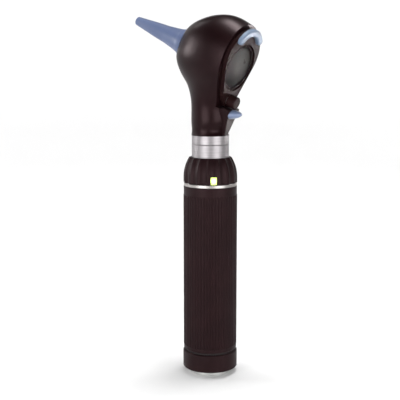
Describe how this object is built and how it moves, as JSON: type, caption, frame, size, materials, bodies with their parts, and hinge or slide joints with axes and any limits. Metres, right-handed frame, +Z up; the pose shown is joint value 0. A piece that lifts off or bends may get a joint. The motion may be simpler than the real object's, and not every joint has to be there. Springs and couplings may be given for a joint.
{
  "type": "otoscope",
  "caption": "Battery-handled otoscope for examining ears: ribbed grip, dimmer ring, lamp-lit head with swivelling magnifying lens and push-button speculum ejector.",
  "frame": {"origin": "centre of the round metal foot under the end cap, where the instrument stands upright, on the handle's axis", "axes": "+Z up the handle; +Y to the rear, towards the user's eye and the lens; the speculum points to -Y and upwards; +X completes the right-handed frame"},
  "size_m": [0.035, 0.0788, 0.2011],
  "materials": {
    "black_shell": "satin moulded plastic, brownish black",
    "black_grip": "fine matte moulded plastic",
    "black_frame": "satin moulded plastic",
    "blue_grip": "smooth blue-grey plastic",
    "blue_button": "smooth blue-grey plastic",
    "speculum_plastic": "smooth blue-grey plastic",
    "collar_metal": "turned and brushed",
    "foot_metal": "turned",
    "bright_trim": "polished",
    "nose_metal": "polished",
    "tube_metal": "dark anodised",
    "spring_steel": "drawn wire",
    "contact_brass": "plain",
    "insulator": "natural nylon",
    "board": "lacquered circuit board",
    "lens_glass": "polished optical glass",
    "bulb_glass": "clear glass",
    "fibre": "polished fibre ends",
    "indicator": "clear lens lit from inside",
    "led": "light emitting chip",
    "cell_wrap": "coloured metal jacket, left plain",
    "rubber_seal": "matte"
  },
  "bodies": {
    "handle": {"grip_sleeve": "black_grip", "battery_tube": "tube_metal", "battery_lower": "cell_wrap", "battery_upper": "cell_wrap", "cap_seal": "rubber_seal", "accent_ring": "bright_trim", "handle_collar": "collar_metal", "dimmer_board": "board", "pilot_led": "led", "contact_bush": "insulator", "contact_pin": "contact_brass", "contact_spring": "spring_steel"},
    "dimmer": {"dimmer_ring": "black_grip", "indicator_lens": "indicator", "dimmer_wiper": "contact_brass"},
    "head": {"head_housing": "black_shell", "rear_bezel": "black_frame", "bezel_screws": "spring_steel", "head_ring": "collar_metal", "lamp_socket": "tube_metal", "lamp_contact": "contact_brass", "lamp_base": "contact_brass", "lamp_bulb": "bulb_glass", "light_guide": "fibre", "nose_cone": "nose_metal", "view_tube": "black_frame", "fibre_ring": "fibre", "pivot_screw": "black_frame", "button_spring": "spring_steel"},
    "lens_frame": {"lens_plate": "black_frame", "lens": "lens_glass", "lens_retainer": "bright_trim", "lens_grip": "blue_grip", "pivot_washer": "spring_steel"},
    "button": {"ejector_button": "blue_button"},
    "ejector": {"ejector_slider": "insulator", "ejector_sleeve": "black_frame"},
    "speculum": {"speculum": "speculum_plastic"},
    "tail": {"tail_plate": "contact_brass", "tail_spring": "spring_steel"},
    "cap": {"end_cap": "black_grip", "base_contact": "foot_metal"}
  },
  "joints": [
    {"name": "dimmer_turn", "type": "hinge", "parent": "handle", "child": "dimmer", "pos_m": [0, 0, 0.116], "axis": [0, 0, 1], "range_deg": [-60, 60]},
    {"name": "head_twist", "type": "hinge", "parent": "handle", "child": "head", "pos_m": [0, 0, 0.1325], "axis": [0, 0, 1], "range_deg": [0, 30]},
    {"name": "lens_swivel", "type": "hinge", "parent": "head", "child": "lens_frame", "pos_m": [0, 0.01197, 0.15502], "axis": [0, 0.9336, -0.3584], "range_deg": [-50, 50]},
    {"name": "button_press", "type": "slide", "parent": "head", "child": "button", "axis": [0, -1, 0], "range_m": [0, 0.0028], "stiffness_N_per_m": 300, "springref_m": -0.003, "deforming": ["button_spring"]},
    {"name": "ejector_slide", "type": "slide", "parent": "head", "child": "ejector", "axis": [0, -0.9336, 0.3584], "range_m": [0, 0.0031]},
    {"name": "speculum_push", "type": "slide", "parent": "head", "child": "speculum", "axis": [0, -0.9336, 0.3584], "range_m": [0, 0.0031]},
    {"name": "cap_slide", "type": "slide", "parent": "handle", "child": "tail", "axis": [0, 0, -1], "range_m": [0, 0.006]},
    {"name": "cap_turn", "type": "hinge", "parent": "tail", "child": "cap", "pos_m": [0, 0, 0.008], "axis": [0, 0, -1], "range_deg": [0, 1440]}
  ],
  "couplings": [
    {"joint": "ejector_slide", "follows": "button_press", "ratio": 1.0711},
    {"joint": "speculum_push", "follows": "button_press", "ratio": 1.0711},
    {"joint": "cap_turn", "follows": "cap_slide", "rad_per_m": 4188.7}
  ]
}
